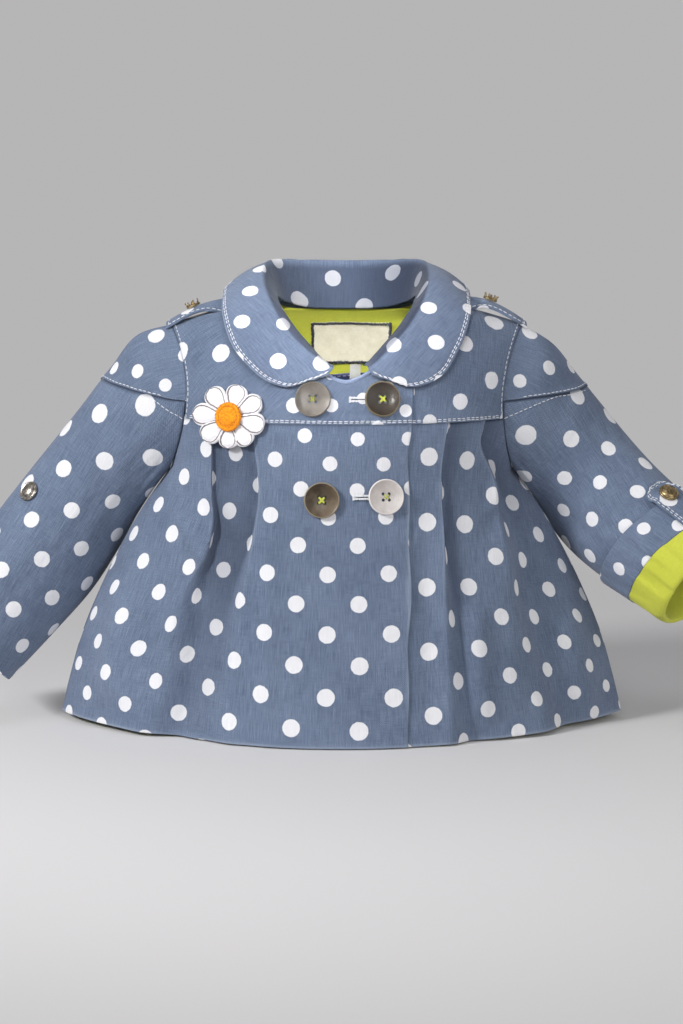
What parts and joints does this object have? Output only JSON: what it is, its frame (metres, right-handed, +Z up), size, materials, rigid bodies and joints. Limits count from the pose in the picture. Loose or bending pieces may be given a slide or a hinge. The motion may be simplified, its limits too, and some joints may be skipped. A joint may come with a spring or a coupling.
{
  "type": "toddler's swing jacket",
  "caption": "Hollow toddler-size double-breasted swing jacket with round collar, chest yoke, pleated flared skirt and long sleeves, one turned up.",
  "frame": {"origin": "between the shoulders at neck height, where the wearer carries the jacket", "axes": "+Z up, the front faces -Y, +X is the wearer's left"},
  "size_m": [0.5905, 0.2074, 0.3321],
  "materials": {
    "denim": "blue-grey light denim with white polka dots and white topstitching",
    "lime_lining": "smooth lime-green woven lining",
    "cream_label": "cream woven label, bare",
    "white_cloth": "white felt-like cloth",
    "orange_cloth": "padded orange cloth",
    "taupe_button": "polished taupe, cloudy",
    "espresso_button": "polished dark brown",
    "bronze_button": "polished brown",
    "shell_button": "pearly pinkish white",
    "brass_trim": "worn cast metal"
  },
  "bodies": {
    "root": {"front_right": "denim", "front_left": "denim", "yoke_right": "denim", "yoke_left": "denim", "back": "denim", "sleeve_right_cap": "denim", "sleeve_left_cap": "denim", "sleeve_right": "denim", "sleeve_left": "denim", "cuff_facing": "denim", "collar": "denim", "epaulette_right": "denim", "epaulette_left": "denim", "sleeve_tab": "denim", "cuff_lining": "lime_lining", "back_lining": "lime_lining", "neck_label": "cream_label", "size_tag": "white_cloth", "daisy_petals": "white_cloth", "daisy_centre": "orange_cloth", "button_upper_right": "taupe_button", "button_upper_left": "espresso_button", "button_lower_right": "bronze_button", "button_lower_left": "shell_button", "epaulette_button_right": "brass_trim", "epaulette_button_left": "brass_trim", "tab_snap": "brass_trim", "sleeve_snap": "brass_trim"}
  },
  "joints": []
}
